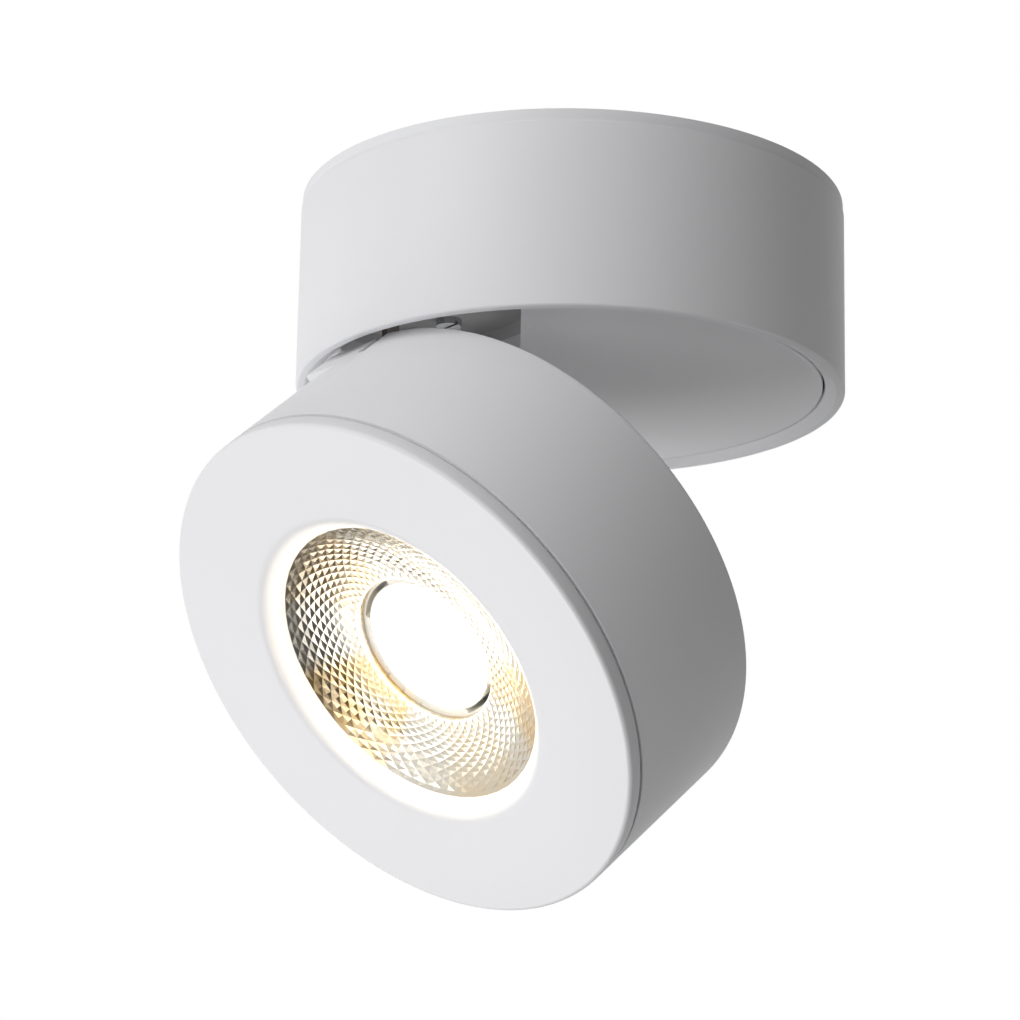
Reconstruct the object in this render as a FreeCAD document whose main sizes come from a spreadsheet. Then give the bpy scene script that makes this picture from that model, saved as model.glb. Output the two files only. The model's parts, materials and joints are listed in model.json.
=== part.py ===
"""Surface mounted ceiling spotlight: a round base, a turntable in its rim and a round lamp head on a hinge.

Millimetres. The origin is the centre of the face that lies on the ceiling, +Z points up, and the lamp hangs
below it. The hinge is at the -Y side of the rim. Every head piece is drawn in the closed position, straight
below the base, and is then swung out about the hinge by the rest tilt.
"""

import FreeCAD, Part
import math
import os
import re

import Sketcher

SIZES = {
    # base
    "base_radius": 50,
    "base_height": 36,
    "base_wall": 3.6,
    "rim_round": 0.5,
    "rim_chamfer_width": 2,
    "rim_chamfer_height": 1.2,
    "mount_thickness": 2.3,
    "mount_step": 0.2,
    "skirt_depth": 6,
    "skirt_wall": 1.6,
    "fit_gap": 0.2,
    "slot_spacing": 60,
    "slot_length": 12,
    "slot_width": 4.5,
    "cable_radius": 4,
    "grommet_wall": 2,
    "grommet_lip": 1.5,
    "lock_radius": 1.5,
    "lock_spread": 130,
    "lock_recess": 0.6,
    "swivel_room": 9.5,
    "floor_thickness": 2.5,
    # swivel
    "spindle_radius": 5,
    "spindle_wall": 1.5,
    "spindle_height": 13,
    "pin_play": 0.05,
    "axial_play": 0.1,
    "bush_wall": 1.5,
    "bush_flange": 0.8,
    "hub_radius": 9,
    "washer_thickness": 0.5,
    "stop_thickness": 1,
    "stop_reach": 12.5,
    "stop_radius": 1,
    "wave_thickness": 1,
    "nut_height": 4,
    "nut_flats": 14,
    # driver and terminals
    "driver_setback": 8.4,
    "driver_gap": 2.5,
    "driver_length": 48,
    "driver_height": 16,
    "driver_wall": 1.2,
    "board_thickness": 1.2,
    "board_lift": 2.5,
    "ear_length": 6,
    "terminal_gap": 3.5,
    "terminal_width": 14,
    "terminal_length": 30,
    "terminal_height": 13,
    "terminal_pitch": 6,
    # turntable
    "run_gap": 0.3,
    "disc_recess": 1,
    "disc_thickness": 2.5,
    "disc_round": 0.3,
    "pocket_back": 22.5,
    "pocket_half": 13,
    "pocket_left": 10,
    "pocket_flare": 50.8,
    "pocket_height": 5,
    "liner_wall": 1.5,
    "flange_width": 7,
    "flange_thickness": 1.2,
    "lead_width": 5,
    "lead_height": 2,
    # hinge
    "hinge_inset": 5.65,
    "hinge_drop": 5,
    "rest_tilt": 48.5,
    "lug_offset": 1.9,
    "lug_width": 1.6,
    "lug_thickness": 2.6,
    "lug_setback": 0.2,
    "knuckle_radius": 2.8,
    "pin_radius": 1.25,
    "pin_head": 1.9,
    "pin_head_height": 0.8,
    "notch_gap": 0.3,
    "notch_depth": 7.2,
    "foot_length": 16,
    "foot_width": 18,
    "foot_thickness": 1.5,
    "cheek_thickness": 3.6,
    "cheek_back": 8,
    "yoke_web": 2.5,
    "yoke_plate": 10,
    "yoke_thickness": 2,
    # head
    "closed_gap": 0.5,
    "head_step": 1,
    "head_depth": 35.4,
    "head_wall": 3,
    "rear_wall": 3,
    "edge_round": 0.8,
    "skin": 1,
    "vent_inner": 10,
    "vent_outer": 22,
    "vent_width": 2.4,
    "vent_count": 16,
    "lead_hole_x": 11.5,
    "lead_hole_reach": 30,
    "lead_hole_radius": 3.5,
    "flat_length": 12.8,
    "flat_inset": 0.15,
    "flat_height": 9,
    "step_depth": 1.7,
    "step_inset": 1.8,
    # front
    "trim_band": 3,
    "trim_face": 2.2,
    "trim_skirt": 8,
    "trim_skirt_wall": 1.6,
    "gasket_thickness": 0.45,
    "gasket_inset": 0.8,
    "lip_reach": 4.25,
    "lip_round": 3.6,
    "lip_edge": 0.95,
    "lip_depth": 2.2,
    "opening_radius": 27.2,
    "opening_depth": 3.3,
    "bowl_flange": 2.8,
    "throat_radius": 14.3,
    "throat_depth": 8,
    "bowl_curve": 20,
    "reflector_wall": 1,
    "collar_length": 1.2,
    # light source
    "lens_radius": 12.4,
    "lens_gap": 0.2,
    "lens_thickness": 1.5,
    "ledge": 1.2,
    "tower_radius": 17,
    "holder_ear": 5,
    "holder_flange": 1.8,
    "pad_thickness": 0.3,
    "cob_thickness": 1,
    "cob_side": 19,
    "emitter_radius": 9,
    "emitter_thickness": 0.5,
    # cooling
    "source_depth": 4.3,
    "sink_base": 3,
    "sink_gap": 8,
    "sink_core": 10,
    "fin_inset": 5,
    "fin_clearance": 4.4,
    "fin_thickness": 1.2,
    "fin_count": 24,
    "post_inset": 6,
    "post_radius": 3.2,
    # fasteners
    "screw_radius": 1.25,
    "screw_head": 2.2,
    "screw_head_height": 1.3,
    "screw_length": 6,
    "screw_slot": 0.6,
}

# Levels and widths that several pieces share, as expressions of the sizes above.
INSIDE = "(base_radius - base_wall)"
SKIRT = "(base_radius - base_wall - fit_gap)"
SKIRT_LOW = "(-mount_thickness - skirt_depth)"
LOCK_LEVEL = "(-mount_thickness - skirt_depth / 2)"
RIM = "(-base_height)"
FLOOR_TOP = "(-base_height + swivel_room + floor_thickness)"
FLOOR_LOW = "(-base_height + swivel_room)"
BORE = "(spindle_radius + pin_play)"
BUSH = "(spindle_radius + pin_play + bush_wall)"
DISC_RADIUS = "(base_radius - base_wall - run_gap)"
DISC_LOW = "(-base_height + disc_recess)"
DISC_TOP = "(-base_height + disc_recess + disc_thickness)"
HUB_TOP = "(-base_height + swivel_room - bush_flange - axial_play)"
STOP_LOW = "(-base_height + swivel_room + floor_thickness + washer_thickness + axial_play)"
CEILING_LOW = "(-base_height + disc_recess + pocket_height)"
CEILING_TOP = "(-base_height + disc_recess + pocket_height + liner_wall)"
HINGE_REACH = "(base_radius - hinge_inset)"
HINGE_LEVEL = "(-base_height - hinge_drop)"
LUG_FACE = "(base_radius - hinge_inset - lug_setback)"
LUG_BACK = "(base_radius - hinge_inset - lug_setback - lug_thickness)"
LUG_HALF = "(lug_width / 2)"
NOTCH_HALF = "(lug_width / 2 + notch_gap)"
YOKE_HALF = "(lug_width / 2 + notch_gap + cheek_thickness)"
CHEEK_RADIUS = "(knuckle_radius - notch_gap / 2)"
YOKE_BACK = "(base_radius - hinge_inset - cheek_back)"
HEAD_RADIUS = "(base_radius - head_step)"
REAR = "(-base_height - closed_gap)"
REAR_INSIDE = "(-base_height - closed_gap - rear_wall)"
SKIN_LEVEL = "(-base_height - closed_gap - skin)"
FACE = "(-base_height - closed_gap - head_depth)"
SEAM = "(-base_height - closed_gap - head_depth + trim_band)"
SHELL_LOW = "(-base_height - closed_gap - head_depth + trim_band + gasket_thickness)"
HEAD_INSIDE = "(base_radius - head_step - head_wall)"
COLLAR = f"({FACE} + throat_depth + collar_length)"
SINK_FRONT = f"({COLLAR} + source_depth)"
SINK_BACK = f"({SINK_FRONT} + sink_base)"
SINK_RADIUS = f"({HEAD_INSIDE} - sink_gap)"
POST_REACH = f"({SINK_RADIUS} - post_inset)"
BOARD_FRONT = f"({SINK_FRONT} - pad_thickness - cob_thickness)"
LENS_FRONT = f"({COLLAR} + lens_gap)"
HOLDER_BACK = f"({SINK_FRONT} - holder_flange)"
HOLDER_RADIUS = "(tower_radius + holder_ear)"
FLANGE_RADIUS = "(opening_radius + bowl_flange)"
DRIVER_FAR = f"({INSIDE} - driver_setback)"
DRIVER_NEAR = "(stop_reach + stop_radius + driver_gap)"
DRIVER_WIDTH = f"({DRIVER_FAR} - {DRIVER_NEAR})"
DRIVER_MIDDLE = f"(({DRIVER_FAR} + {DRIVER_NEAR}) / 2)"
TERMINAL_NEAR = "(stop_reach + stop_radius + terminal_gap)"
TERMINAL_FAR = f"({TERMINAL_NEAR} + terminal_width)"
TERMINAL_MIDDLE = f"({TERMINAL_NEAR} + terminal_width / 2)"

doc = FreeCAD.newDocument("ceiling_spotlight")
sheet = doc.addObject("Spreadsheet::Sheet", "Sizes")
for row, (alias, value) in enumerate(SIZES.items(), 1):
    sheet.set(f"A{row}", alias)
    sheet.set(f"B{row}", str(value))
    sheet.setAlias(f"B{row}", alias)
doc.recompute()

sub_parts = []


def full(text):
    """The expression with each size's name pointing at its cell in the sheet."""
    return re.sub(r"[a-z_]+", lambda m: f"Sizes.{m.group()}" if m.group() in SIZES else m.group(), text)


def number(text):
    return float(sheet.evalExpression(full(text)))


def new_body(label, several=False):
    """An empty sub-part; several lets it hold a group of identical separate solids."""
    body = doc.addObject("PartDesign::Body", label)
    body.Label = label
    body.AllowCompound = several
    sub_parts.append(body)
    return body


def origin_feature(body, role):
    return next(f for f in body.Origin.OriginFeatures if f.Role == role)


def new_sketch(body, level="0", role="XY_Plane"):
    sketch = body.newObject("Sketcher::SketchObject", f"{body.Label}_sketch")
    sketch.AttachmentSupport = (origin_feature(body, role), "")
    sketch.MapMode = "FlatFace"
    sketch.setExpression("AttachmentOffset.Base.z", full(level))
    return sketch


def hold_point(sketch, geometry, vertex, across, along):
    """Ties one point of a sketch to its two coordinates."""
    for kind, text, axis in (("DistanceX", across, -2), ("DistanceY", along, -1)):
        if text == "0":
            sketch.addConstraint(Sketcher.Constraint("PointOnObject", geometry, vertex, axis))
        else:
            made = sketch.addConstraint(Sketcher.Constraint(kind, -1, 1, geometry, vertex, number(text)))
            sketch.setExpression(f"Constraints[{made}]", full(text))


def hold_radius(sketch, geometry, radius):
    made = sketch.addConstraint(Sketcher.Constraint("Radius", geometry, number(radius)))
    sketch.setExpression(f"Constraints[{made}]", full(radius))


def draw_circle(sketch, across, along, radius):
    centre = FreeCAD.Vector(number(across), number(along), 0)
    made = sketch.addGeometry(Part.Circle(centre, FreeCAD.Vector(0, 0, 1), number(radius)))
    hold_point(sketch, made, 3, across, along)
    hold_radius(sketch, made, radius)


def arc_between(first, last, radius, turns_left):
    """The shorter arc from first to last, with its centre on the left or the right of the way there."""
    chord = last - first
    side = FreeCAD.Vector(-chord.y, chord.x, 0).normalize() * (1 if turns_left else -1)
    centre = (first + last) / 2 + side * math.sqrt(radius**2 - (chord.Length / 2) ** 2)
    begin, end = (first, last) if turns_left else (last, first)
    angles = [math.atan2(p.y - centre.y, p.x - centre.x) for p in (begin, end)]
    circle = Part.Circle(centre, FreeCAD.Vector(0, 0, 1), radius)
    return Part.ArcOfCircle(circle, angles[0], angles[1] + (2 * math.pi if angles[1] < angles[0] else 0))


def draw_outline(sketch, corners):
    """A closed outline. A corner is (across, along), or has a third item where an arc follows it: the arc's
    radius, with a minus sign where the arc's centre lies on the right."""
    spots = [FreeCAD.Vector(number(c[0]), number(c[1]), 0) for c in corners]
    edges = []
    for spot, following, corner in zip(spots, spots[1:] + spots[:1], corners):
        if len(corner) == 2:
            made = sketch.addGeometry(Part.LineSegment(spot, following))
            edges.append((made, 1, 2))
        else:
            left = not corner[2].startswith("-")
            radius = corner[2].lstrip("-")
            made = sketch.addGeometry(arc_between(spot, following, number(radius), left))
            hold_radius(sketch, made, radius)
            edges.append((made, 1, 2) if left else (made, 2, 1))
    for (one, _, end), (other, begin, _) in zip(edges, edges[1:] + edges[:1]):
        sketch.addConstraint(Sketcher.Constraint("Coincident", one, end, other, begin))
    for (made, begin, _), corner in zip(edges, corners):
        hold_point(sketch, made, begin, corner[0], corner[1])


def draw_box(sketch, left, right, low, high):
    draw_outline(sketch, [(left, low), (right, low), (right, high), (left, high)])


def draw_slot(sketch, across, along, length, width):
    """A slot with round ends, along the sketch's first axis."""
    left = f"({across}) - (({length}) - ({width})) / 2"
    right = f"({across}) + (({length}) - ({width})) / 2"
    low = f"({along}) - ({width}) / 2"
    high = f"({along}) + ({width}) / 2"
    middle = number(along)
    lines = []
    for begin, end, level in ((left, right, low), (right, left, high)):
        ends = [FreeCAD.Vector(number(x), number(level), 0) for x in (begin, end)]
        lines.append(sketch.addGeometry(Part.LineSegment(*ends)))
        hold_point(sketch, lines[-1], 1, begin, level)
        hold_point(sketch, lines[-1], 2, end, level)
    for x, start, near, far in ((right, -math.pi / 2, (0, 2), (1, 1)), (left, math.pi / 2, (1, 2), (0, 1))):
        centre = FreeCAD.Vector(number(x), middle, 0)
        circle = Part.Circle(centre, FreeCAD.Vector(0, 0, 1), number(width) / 2)
        arc = sketch.addGeometry(Part.ArcOfCircle(circle, start, start + math.pi))
        sketch.addConstraint(Sketcher.Constraint("Coincident", arc, 1, lines[near[0]], near[1]))
        sketch.addConstraint(Sketcher.Constraint("Coincident", arc, 2, lines[far[0]], far[1]))
        made = sketch.addConstraint(Sketcher.Constraint("DistanceX", -1, 1, arc, 3, number(x)))
        sketch.setExpression(f"Constraints[{made}]", full(x))


def add(body, sketch, length, kind="Pad", backwards=False):
    """A Pad along the sketch's normal, or a Pocket against it; backwards turns either round."""
    feature = body.newObject(f"PartDesign::{kind}", f"{body.Label}_{kind.lower()}")
    feature.Profile = sketch
    feature.setExpression("Length", full(length))
    feature.Reversed = backwards
    return feature


def add_disc(body, radius, low, high, across="0", along="0", kind="Pad"):
    """Fills or cuts an upright cylinder between two levels."""
    sketch = new_sketch(body, low if kind == "Pad" else high)
    draw_circle(sketch, across, along, radius)
    return add(body, sketch, f"({high}) - ({low})", kind)


def add_prism(body, corners, low, high, kind="Pad"):
    """Fills or cuts an upright prism between two levels."""
    sketch = new_sketch(body, low if kind == "Pad" else high)
    draw_outline(sketch, corners)
    return add(body, sketch, f"({high}) - ({low})", kind)


def add_block(body, left, right, near, far, low, high, kind="Pad"):
    return add_prism(body, [(left, near), (right, near), (right, far), (left, far)], low, high, kind)


def beside_arm(half):
    """The two X positions at the same distance from the middle of the hinge arm."""
    return f"(lug_offset - ({half}))", f"(lug_offset + ({half}))"


def cross_rod(body, radius, left, right, kind="Pad"):
    """Fills or cuts a cylinder on the hinge axis, which runs along X."""
    sketch = new_sketch(body, left if kind == "Pad" else right, "YZ_Plane")
    draw_circle(sketch, f"-{HINGE_REACH}", HINGE_LEVEL, radius)
    return add(body, sketch, f"({right}) - ({left})", kind)


def turned(label, corners, **options):
    """A sub-part turned about the Z axis, from its outline in radius and height."""
    body = new_body(label, **options)
    sketch = new_sketch(body, "0", "XZ_Plane")
    draw_outline(sketch, corners)
    feature = body.newObject("PartDesign::Revolution", f"{label}_turn")
    feature.Profile = sketch
    feature.ReferenceAxis = (sketch, ["V_Axis"])
    feature.Angle = 360
    return body


def ring(label, inner, outer, low, high):
    return turned(label, [(inner, low), (outer, low), (outer, high), (inner, high)])


def repeat_round(body, features, count, angle="360"):
    """Copies features round the Z axis, the first where it is drawn."""
    pattern = body.newObject("PartDesign::PolarPattern", f"{body.Label}_pattern")
    pattern.Originals = features
    pattern.Axis = (origin_feature(body, "Z_Axis"), [""])
    pattern.setExpression("Angle", full(angle))
    pattern.setExpression("Occurrences", full(count))
    body.Tip = pattern
    return pattern


def round_edges(body, size, *rings):
    """Rounds the circular edges about Z that have the given radius and height."""
    doc.recompute()
    solid = body.Tip
    wanted = [(number(radius), number(height)) for radius, height in rings]
    names = [
        f"Edge{i}"
        for i, edge in enumerate(solid.Shape.Edges, 1)
        if isinstance(edge.Curve, Part.Circle)
        and any(math.dist((edge.Curve.Radius, edge.Curve.Center.z), w) < 1e-4 for w in wanted)
    ]
    fillet = body.newObject("PartDesign::Fillet", f"{body.Label}_round")
    fillet.Base = (solid, names)
    fillet.setExpression("Radius", full(size))
    body.Tip = fillet


def screws(label, spots, seat, downwards=False, length="screw_length"):
    """Slotted pan head screws on upright axes, as one group: the head stands on the seat level."""
    body = new_body(label, several=True)
    if downwards:
        head_low, head_high = f"{seat} - screw_head_height", seat
        shank_low, shank_high = seat, f"{seat} + {length}"
        slot_low, slot_high = head_low, f"{seat} - screw_head_height / 2"
    else:
        head_low, head_high = seat, f"{seat} + screw_head_height"
        shank_low, shank_high = f"{seat} - {length}", seat
        slot_low, slot_high = f"{seat} + screw_head_height / 2", head_high
    heads = new_sketch(body, head_low)
    shanks = new_sketch(body, shank_low)
    slots = new_sketch(body, slot_high)
    for across, along in spots:
        draw_circle(heads, across, along, "screw_head")
        draw_circle(shanks, across, along, "screw_radius")
        reach = f"({across}) - screw_head * 1.1", f"({across}) + screw_head * 1.1"
        draw_box(slots, *reach, f"({along}) - screw_slot / 2", f"({along}) + screw_slot / 2")
    add(body, heads, f"({head_high}) - ({head_low})")
    add(body, shanks, f"({shank_high}) - ({shank_low})")
    add(body, slots, f"({slot_high}) - ({slot_low})", "Pocket")
    return body


def screw_holes(body, spots, low, high):
    """Tapped holes for screws, between two levels."""
    sketch = new_sketch(body, high)
    for across, along in spots:
        draw_circle(sketch, across, along, "screw_radius")
    add(body, sketch, f"({high}) - ({low})", "Pocket")


def fan(offset):
    """The corners of the hinge pocket moved outwards by the offset: its +X side opens towards the rim."""
    left = f"-(pocket_left + {offset})"
    corner = f"(pocket_half + {offset} * (1 - sin(pocket_flare)) / cos(pocket_flare))"
    far = f"(pocket_half + {offset} * cos(pocket_flare) + base_radius * sin(pocket_flare))"
    back = f"(-pocket_back + {offset})"
    front = f"(-pocket_back + {offset} * sin(pocket_flare) - base_radius * cos(pocket_flare))"
    return [(left, back), (left, front), (far, front), (corner, back)]


def outside_disc(body, low, high):
    """Cuts away what reaches past the turntable's edge."""
    sketch = new_sketch(body, high)
    draw_circle(sketch, "0", "0", DISC_RADIUS)
    draw_circle(sketch, "0", "0", f"{DISC_RADIUS} + 2 * base_radius")
    add(body, sketch, f"({high}) - ({low})", "Pocket")


# ---------------------------------------------------------------- base
def mounting_plate():
    """The plate that is screwed to the ceiling, with a skirt that the housing slides over."""
    hole = "(cable_radius + grommet_wall)"
    edge = "(base_radius - mount_step)"
    body = turned("mounting_plate", [
        (hole, "0"),
        (hole, "-mount_thickness"),
        (f"{SKIRT} - skirt_wall", "-mount_thickness"),
        (f"{SKIRT} - skirt_wall", SKIRT_LOW),
        (SKIRT, SKIRT_LOW),
        (SKIRT, "-mount_thickness"),
        (edge, "-mount_thickness"),
        (edge, "0"),
    ])
    slots = new_sketch(body)
    for side in ("-", ""):
        draw_slot(slots, f"{side}slot_spacing / 2", "0", "slot_length", "slot_width")
    add(body, slots, "mount_thickness", "Pocket")
    repeat_round(body, [lock_hole(body, "lock_radius")], "2", "lock_spread")


def lock_hole(body, radius):
    """A radial hole at the +Y side for a lock screw."""
    sketch = new_sketch(body, "0", "XZ_Plane")
    draw_circle(sketch, "0", LOCK_LEVEL, radius)
    return add(body, sketch, "base_radius + fit_gap", "Pocket")


def base_housing():
    """The round housing with an inner floor that carries the swivel, the driver and the terminals."""
    body = turned("base_housing", [
        (INSIDE, "-mount_thickness"),
        (INSIDE, FLOOR_TOP),
        (BUSH, FLOOR_TOP),
        (BUSH, FLOOR_LOW),
        (INSIDE, FLOOR_LOW),
        (INSIDE, f"{RIM} + rim_chamfer_height"),
        (f"{INSIDE} + rim_chamfer_width", RIM),
        ("base_radius", RIM),
        ("base_radius", "-mount_thickness"),
    ])
    screw_holes(body, driver_spots() + terminal_spots(), FLOOR_LOW, FLOOR_TOP)
    add_disc(body, "stop_radius", FLOOR_LOW, FLOOR_TOP, "0", "-stop_reach", "Pocket")
    repeat_round(body, [lock_hole(body, "lock_radius")], "2", "lock_spread")
    round_edges(body, "rim_round", ("base_radius", RIM))


def lock_screws():
    """Set screws that hold the housing on the skirt, on the side away from the hinge."""
    body = new_body("lock_screws", several=True)
    inner = f"({SKIRT} - skirt_wall)"
    outer = "(base_radius - lock_recess)"
    rods = new_sketch(body, f"-{inner}", "XZ_Plane")
    draw_circle(rods, "0", LOCK_LEVEL, "lock_radius")
    rod = add(body, rods, f"{outer} - {inner}", backwards=True)
    sockets = new_sketch(body, f"-{outer} + lock_radius", "XZ_Plane")
    draw_circle(sockets, "0", LOCK_LEVEL, "lock_radius / 2")
    socket = add(body, sockets, "lock_radius", "Pocket")
    repeat_round(body, [rod, socket], "2", "lock_spread")


def cable_grommet():
    """A rubber ring in the cable hole, with a lip under the plate."""
    hole = "(cable_radius + grommet_wall)"
    turned("cable_grommet", [
        ("cable_radius", "0"),
        ("cable_radius", "-mount_thickness - grommet_lip"),
        (f"{hole} + grommet_lip", "-mount_thickness - grommet_lip"),
        (f"{hole} + grommet_lip", "-mount_thickness"),
        (hole, "-mount_thickness"),
        (hole, "0"),
    ])


def driver_spots():
    reach = "(driver_length / 2 - ear_length / 2)"
    return [(f"-{reach}", DRIVER_MIDDLE), (reach, DRIVER_MIDDLE)]


def driver():
    """The driver: a tray and a lid round a circuit board with its largest components."""
    half = "(driver_length / 2 - ear_length)"
    near, far = DRIVER_NEAR, DRIVER_FAR
    top = f"({FLOOR_TOP} + driver_height)"
    board = f"({FLOOR_TOP} + board_lift)"
    inner_half = f"({half} - driver_wall)"
    inner_near = f"({near} + driver_wall)"
    inner_far = f"({far} - driver_wall)"
    case = new_body("driver_case")
    add_block(case, f"-{half} - ear_length", f"{half} + ear_length", f"{DRIVER_MIDDLE} - ear_length / 2",
              f"{DRIVER_MIDDLE} + ear_length / 2", FLOOR_TOP, f"{FLOOR_TOP} + driver_wall")
    add_block(case, f"-{half}", half, near, far, FLOOR_TOP, f"{top} - driver_wall")
    add_block(case, f"-{inner_half}", inner_half, inner_near, inner_far, board, f"{top} - driver_wall",
              "Pocket")
    add_block(case, f"-{inner_half} + driver_wall", f"{inner_half} - driver_wall",
              f"{inner_near} + driver_wall", f"{inner_far} - driver_wall", f"{FLOOR_TOP} + driver_wall",
              board, "Pocket")
    screw_holes(case, driver_spots(), FLOOR_TOP, f"{FLOOR_TOP} + driver_wall")
    cover = new_body("driver_cover")
    add_block(cover, f"-{half}", half, near, far, f"{top} - driver_wall", top)
    plate = new_body("driver_board")
    add_block(plate, f"-{inner_half} + fit_gap", f"{inner_half} - fit_gap", f"{inner_near} + fit_gap",
              f"{inner_far} - fit_gap", board, f"{board} + board_thickness")
    core = new_body("transformer")
    low = f"({board} + board_thickness)"
    add_block(core, "-driver_height / 2", "driver_height / 4", f"{inner_near} + 2 * driver_wall",
              f"{inner_far} - 2 * driver_wall", low, f"{top} - 2 * driver_wall")
    cans = new_body("capacitors", several=True)
    radius = f"{DRIVER_WIDTH} / 7"
    for side in ("-", ""):
        add_disc(cans, radius, low, f"{top} - 2 * driver_wall", f"{half} * 0.68",
                 f"{DRIVER_MIDDLE} {side or '+'} {DRIVER_WIDTH} / 5")
    screws("driver_screws", driver_spots(), f"({FLOOR_TOP} + driver_wall)",
           length="(floor_thickness + driver_wall)")


def terminal_spots():
    reach = "(terminal_length / 2 - screw_head)"
    return [(f"-{reach}", f"-{TERMINAL_MIDDLE}"), (reach, f"-{TERMINAL_MIDDLE}")]


def terminals():
    """The mains terminal block: three ways, each with a wire entry and a clamping screw."""
    block = new_body("terminal_block")
    ways = "(terminal_length / 2 - 2 * screw_head)"
    add_block(block, "-terminal_length / 2", "terminal_length / 2", f"-{TERMINAL_MIDDLE} - screw_head",
              f"-{TERMINAL_MIDDLE} + screw_head", FLOOR_TOP, f"{FLOOR_TOP} + driver_wall")
    add_block(block, f"-{ways}", ways, f"-{TERMINAL_FAR}", f"-{TERMINAL_NEAR}", FLOOR_TOP,
              f"{FLOOR_TOP} + terminal_height")
    entries = new_sketch(block, TERMINAL_NEAR, "XZ_Plane")
    pits = new_sketch(block, f"{FLOOR_TOP} + terminal_height")
    spots = [(across, f"-{TERMINAL_MIDDLE}") for across in ("-terminal_pitch", "0", "terminal_pitch")]
    for across, along in spots:
        draw_circle(entries, across, f"{FLOOR_TOP} + terminal_height * 0.35", "screw_radius * 1.2")
        draw_circle(pits, across, along, "screw_head")
    add(block, entries, "terminal_width", backwards=True, kind="Pocket")
    add(block, pits, "terminal_height / 2", "Pocket")
    screw_holes(block, terminal_spots(), FLOOR_TOP, f"{FLOOR_TOP} + driver_wall")
    clamps = new_body("terminal_clamps", several=True)
    discs = new_sketch(clamps, f"{FLOOR_TOP} + terminal_height / 2")
    for across, along in spots:
        draw_circle(discs, across, along, "screw_head - fit_gap")
    add(clamps, discs, "terminal_height / 4")
    screws("terminal_screws", terminal_spots(), f"({FLOOR_TOP} + driver_wall)",
           length="(floor_thickness + driver_wall)")


def swivel_base():
    """What the turntable turns in: a flanged bush in the floor, a washer on it and the stop pin."""
    flange = f"({FLOOR_LOW} - bush_flange)"
    turned("swivel_bush", [
        (BORE, FLOOR_TOP),
        (BORE, flange),
        ("hub_radius", flange),
        ("hub_radius", FLOOR_LOW),
        (BUSH, FLOOR_LOW),
        (BUSH, FLOOR_TOP),
    ])
    ring("thrust_washer", f"{BORE} + pin_play", "hub_radius", FLOOR_TOP, f"{FLOOR_TOP} + washer_thickness")
    pin = new_body("stop_pin")
    add_disc(pin, "stop_radius", FLOOR_LOW, f"{STOP_LOW} + stop_thickness", "0", "-stop_reach")


# ---------------------------------------------------------------- turntable
def turntable_disc():
    """The disc in the rim: a hub for the spindle, and a pocket that the head's edge swings into."""
    chamber = f"({DISC_TOP} + lead_height)"
    body = new_body("turntable_disc")
    add_disc(body, DISC_RADIUS, DISC_LOW, DISC_TOP)
    add_disc(body, "hub_radius", DISC_TOP, HUB_TOP)
    add_disc(body, "spindle_radius", chamber, HUB_TOP, kind="Pocket")
    add_disc(body, "spindle_radius - fit_gap", DISC_TOP, chamber, kind="Pocket")
    add_block(body, "-lead_width / 2", "lead_width / 2", "-hub_radius - fit_gap", "0", DISC_TOP, chamber,
              "Pocket")
    add_prism(body, fan("0"), DISC_LOW, DISC_TOP, "Pocket")
    screw_holes(body, liner_spots(), DISC_LOW + " + disc_thickness / 4", DISC_TOP)
    round_edges(body, "disc_round", (DISC_RADIUS, DISC_LOW))


def swivel_turning():
    """The hollow spindle and what it carries above the floor."""
    chamber = f"({DISC_TOP} + lead_height)"
    wave_low = f"({STOP_LOW} + stop_thickness)"
    nut_low = f"({wave_low} + wave_thickness)"
    ring("swivel_spindle", "spindle_radius - spindle_wall", "spindle_radius", chamber,
         f"{chamber} + spindle_height")
    stop = ring("stop_washer", "spindle_radius", "hub_radius", STOP_LOW, wave_low)
    add_block(stop, "-stop_radius", "stop_radius", "hub_radius - stop_radius", "stop_reach + stop_radius",
              STOP_LOW, wave_low)
    ring("wave_washer", "spindle_radius", "hub_radius - stop_radius", wave_low, nut_low)
    nut = new_body("swivel_nut")
    corner = "(nut_flats / 2 / cos(30))"
    corners = [(f"{corner} * cos({60 * i + 30})", f"{corner} * sin({60 * i + 30})") for i in range(6)]
    add_prism(nut, corners, nut_low, f"{nut_low} + nut_height")
    add_disc(nut, "spindle_radius", nut_low, f"{nut_low} + nut_height", kind="Pocket")


def liner_spots():
    """Screws in the liner's flange: one behind the pocket and one at each side."""
    middle = "(flange_width / 2 + liner_wall / 2)"
    along = "(base_radius / 4)"
    across = f"(pocket_half + {middle} * cos(pocket_flare) + {along} * sin(pocket_flare))"
    near = f"(-pocket_back + {middle} * sin(pocket_flare) - {along} * cos(pocket_flare))"
    return [("0", f"-pocket_back + {middle}"), (f"-(pocket_left + {middle})", near), (across, near)]


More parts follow.
